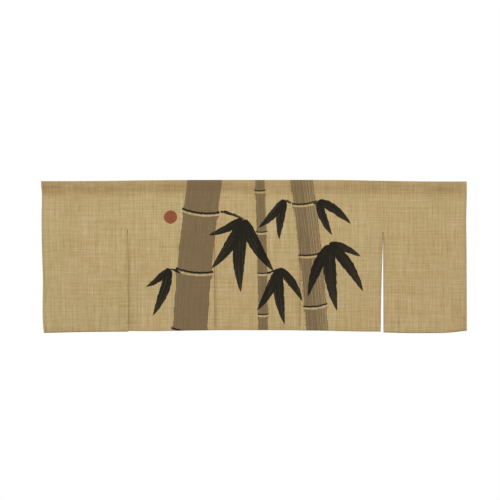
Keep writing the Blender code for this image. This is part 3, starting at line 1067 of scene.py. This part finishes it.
def sewn_stitches(points, wrong, behind, back, sizes):
    """Stitches along a line, on the face or on the back, this far behind the line."""
    points = points + wrong * np.broadcast_to(behind * back, len(points))[:, None]
    ways = unit(np.gradient(points, axis=0))
    outs = square_to(ways, wrong if back else -wrong)
    return stitches(points + outs * sizes.cloth / 2, ways, outs, sizes.stitch_length, sizes.thread)


def sewing_lines(sizes, back):
    """Every sewn line on one side: under the sleeve, along the hems and down the panels' sides."""
    lines = []
    pitch = sizes.stitch_pitch
    seam_row = Row("back_seam" if back else "front_seam", SEAM_STITCH, 1.0)
    hem_row = Row("hem", HEM_STITCH, 1.0)
    body, tail = SLIT_START - SLEEVE_DROP, DROP - SLIT_START - HEM_DEPTH
    lower = [Row("panel", step / tail, 1.0) for step in np.arange(SIDE_HEM_OPENS, tail, pitch)]
    upper = [Row("under", step / body, 1.0) for step in np.arange(pitch, body, pitch)]
    upper += [Row("panel", step / tail, 1.0) for step in np.arange(pitch / 2, SIDE_HEM_OPENS, pitch)]
    for panel in range(PANEL_COUNT):
        left, right = flat_edges(panel)
        width = right - left
        steps = np.arange(pitch / 2, width, pitch) / width
        seam, wrong = lay(panel, steps, [seam_row], sizes)
        lines.append(sewn_stitches(seam[0], wrong[0], 0, False, sizes))
        from_edge = np.minimum(steps, 1 - steps) * width
        inner = from_edge > SIDE_HEM
        hem, wrong = lay(panel, steps[inner], [hem_row], sizes)
        gap = FOLD_APART + OVER_SIDE_HEM * over_side_hem(from_edge[inner])
        lines.append(sewn_stitches(hem[0], wrong[0], sizes.fold * gap - 2 * sizes.groove, back, sizes))
        inset = SIDE_STITCH / width
        gap = FOLD_APART * sizes.fold - 2 * sizes.groove
        for across, outer in ((inset, panel == 0), (1 - inset, panel == len(SLITS))):
            side, wrong = lay(panel, np.array([across]), upper + lower if outer else lower, sizes)
            lines.append(sewn_stitches(side[:, 0], wrong[:, 0], gap, back, sizes))
    return lines


def slit_tacks(sizes):
    """Close bars of thread across the top of each slit, on the front and on the back."""
    parts = []
    radius = sizes.thread * TACK_THREAD
    count = int(sizes.tack_height / (radius * TACK_STEP))
    steps = (np.arange(count) - count / 2) * radius * TACK_STEP
    ways = np.tile([1.0, 0.0, 0.0], (count, 1))
    ways[:, 2] = TACK_TILT * np.sin(np.arange(count) * TACK_TILT_STEP)
    ways = unit(ways)
    for slit in SLITS:
        x = np.full(count, slit.across * HALF)
        z = slit_top(x) + steps
        down = (-SLEEVE_DROP - z) / (DROP - SLEEVE_DROP)
        y = -LAYER + sizes.cloth / 2 + fold_depth(x, down) + crease_depth(x, z)
        middles = np.stack([x, y, z], axis=1)
        for out, away in ((-1.0, sizes.cloth / 2), (1.0, sizes.cloth / 2 + FOLD_APART * sizes.fold)):
            outs = square_to(ways, np.tile([0.0, out, 0.0], (count, 1)))
            parts.append(stitches(middles + outs * away, ways, outs, sizes.tack_width, radius))
    return parts


class NOREN_OT_cloth(bpy.types.Operator):
    """Hang the linen: one thin sheet from the sleeve's back, over the top fold and down to the hems"""

    bl_idname = "noren.cloth"
    bl_label = "Hanging cloth"

    def execute(self, context):
        sizes, colours = context.scene.noren_sizes, context.scene.noren_colours
        points, places, shaded, printed, faces = linen_sheet(sizes)
        print_nodes = print_group()
        face = linen_material("printed linen", sizes, colours, print_nodes, PRINTED)
        wrong_side = linen_material("linen wrong side", sizes, colours, print_nodes, SOAKED_THROUGH)
        cloth = new_object("hanging_cloth", points, faces.tolist(), [face, wrong_side])
        place_map = cloth.data.uv_layers.new(name="cloth_place")
        place_map.data.foreach_set("uv", places[faces.reshape(-1)].astype(np.float32).reshape(-1))
        # The strength of the painted shade and the share of print go to the cloth as point attributes
        for name, shares in (("shaded", shaded), ("printed", printed)):
            layer = cloth.data.attributes.new(name, "FLOAT", "POINT")
            layer.data.foreach_set("value", shares.astype(np.float32).reshape(-1))
        solidify = cloth.modifiers.new("Cloth thickness", "SOLIDIFY")
        solidify.thickness = sizes.cloth
        solidify.offset = 0
        solidify.material_offset = 1
        context.view_layer.objects.active = cloth
        bpy.ops.object.modifier_apply(modifier=solidify.name)
        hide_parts("curtain_cloth", "rod_sleeve")
        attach(cloth, "root")
        return {"FINISHED"}


class NOREN_OT_stitching(bpy.types.Operator):
    """Sew the lines under the sleeve, along the hems and down the sides, on the front and the back"""

    bl_idname = "noren.stitching"
    bl_label = "Stitching"

    def execute(self, context):
        sizes, colours = context.scene.noren_sizes, context.scene.noren_colours
        material = thread_material("sewing thread", colours.thread)
        for name, back in (("front_stitches", False), ("back_stitches", True)):
            piece = threads_object(name, sewing_lines(sizes, back), material)
            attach(piece, "root")
        return {"FINISHED"}


class NOREN_OT_tacks(bpy.types.Operator):
    """Tack the four slits' tops with close bars of thread"""

    bl_idname = "noren.tacks"
    bl_label = "Slit tacks"

    def execute(self, context):
        sizes, colours = context.scene.noren_sizes, context.scene.noren_colours
        material = thread_material("tack thread", colours.tack)
        piece = threads_object("slit_tacks", slit_tacks(sizes), material)
        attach(piece, "root")
        return {"FINISHED"}


KEY_PLACE = (-0.15, -2.6, 1.55)
KEY_AIM = (0.0, 0.0, -0.3)
FLOOR_CORNERS = ((-5, -5), (5, -5), (5, 5), (-5, 5))
FLOOR_FINISH = {"Base Color": (0.86, 0.86, 0.85, 1.0), "Roughness": 0.9}


class NOREN_OT_stage(bpy.types.Operator):
    """Set up the pale floor, the soft light and the camera"""

    bl_idname = "noren.stage"
    bl_label = "Stage"

    def execute(self, context):
        scene, stage = context.scene, context.scene.noren_stage
        scene.view_settings.view_transform = "Standard"

        # The world is plain white to look at and lights the curtain softly from all round.
        scene.world = bpy.data.worlds.new("White room")
        scene.world.use_nodes = True
        nodes = Nodes(scene.world.node_tree)
        seen = nodes.one("ShaderNodeLightPath", output="Is Camera Ray")
        background = nodes.tree.nodes["Background"].inputs
        nodes.give(background["Color"], (1.0, 1.0, 1.0, 1.0))
        nodes.give(background["Strength"], seen * (1.0 - stage.ambient) + stage.ambient)

        key = bpy.data.lights.new("Key", "AREA")
        key.shape = "RECTANGLE"
        key.size = 3.0
        key.size_y = 0.9
        key.energy = stage.key_power
        towards = (Vector(KEY_AIM) - Vector(KEY_PLACE)).to_track_quat("-Z", "Y").to_euler()
        place_object("Key", key, KEY_PLACE, towards).visible_camera = False

        camera = bpy.data.cameras.new("Camera")
        camera.lens = stage.lens
        camera.sensor_width = 36.0
        camera.clip_end = 200.0
        seen_from = (stage.across, -stage.distance, stage.height)
        scene.camera = place_object("Camera", camera, seen_from, (math.radians(90.0), 0.0, 0.0))

        corners = np.array([(x, y, -stage.floor_drop) for x, y in FLOOR_CORNERS])
        floor_material, _, _ = new_material("pale floor", FLOOR_FINISH)
        floor = new_object("floor", corners, [(0, 1, 2, 3)], [floor_material])
        return {"FINISHED"}


class NOREN_PT_panel(bpy.types.Panel):
    """Lists the curtain's sizes, colours and steps"""

    bl_idname = "NOREN_PT_panel"
    bl_label = "Noren curtain"
    bl_space_type = "VIEW_3D"
    bl_region_type = "UI"
    bl_category = "Noren"

    def draw(self, context):
        scene = context.scene
        for group in (scene.noren_sizes, scene.noren_colours, scene.noren_stage):
            box = self.layout.box()
            for name in group.__annotations__:
                box.prop(group, name)
        for operator in OPERATORS:
            self.layout.operator(operator.bl_idname)


OPERATORS = (NOREN_OT_stage, NOREN_OT_cloth, NOREN_OT_stitching, NOREN_OT_tacks)
GROUPS = {"noren_sizes": NorenSizes, "noren_colours": NorenColours, "noren_stage": NorenStage}


def register():
    for kind in (*GROUPS.values(), *OPERATORS, NOREN_PT_panel):
        bpy.utils.register_class(kind)
    for name, kind in GROUPS.items():
        setattr(bpy.types.Scene, name, PointerProperty(type=kind))


def unregister():
    for name in GROUPS:
        delattr(bpy.types.Scene, name)
    for kind in reversed((*GROUPS.values(), *OPERATORS, NOREN_PT_panel)):
        bpy.utils.unregister_class(kind)


def main():
    register()
    bpy.ops.noren.stage()
    bpy.ops.noren.cloth()
    bpy.ops.noren.stitching()
    bpy.ops.noren.tacks()


if __name__ == "__main__":
    main()
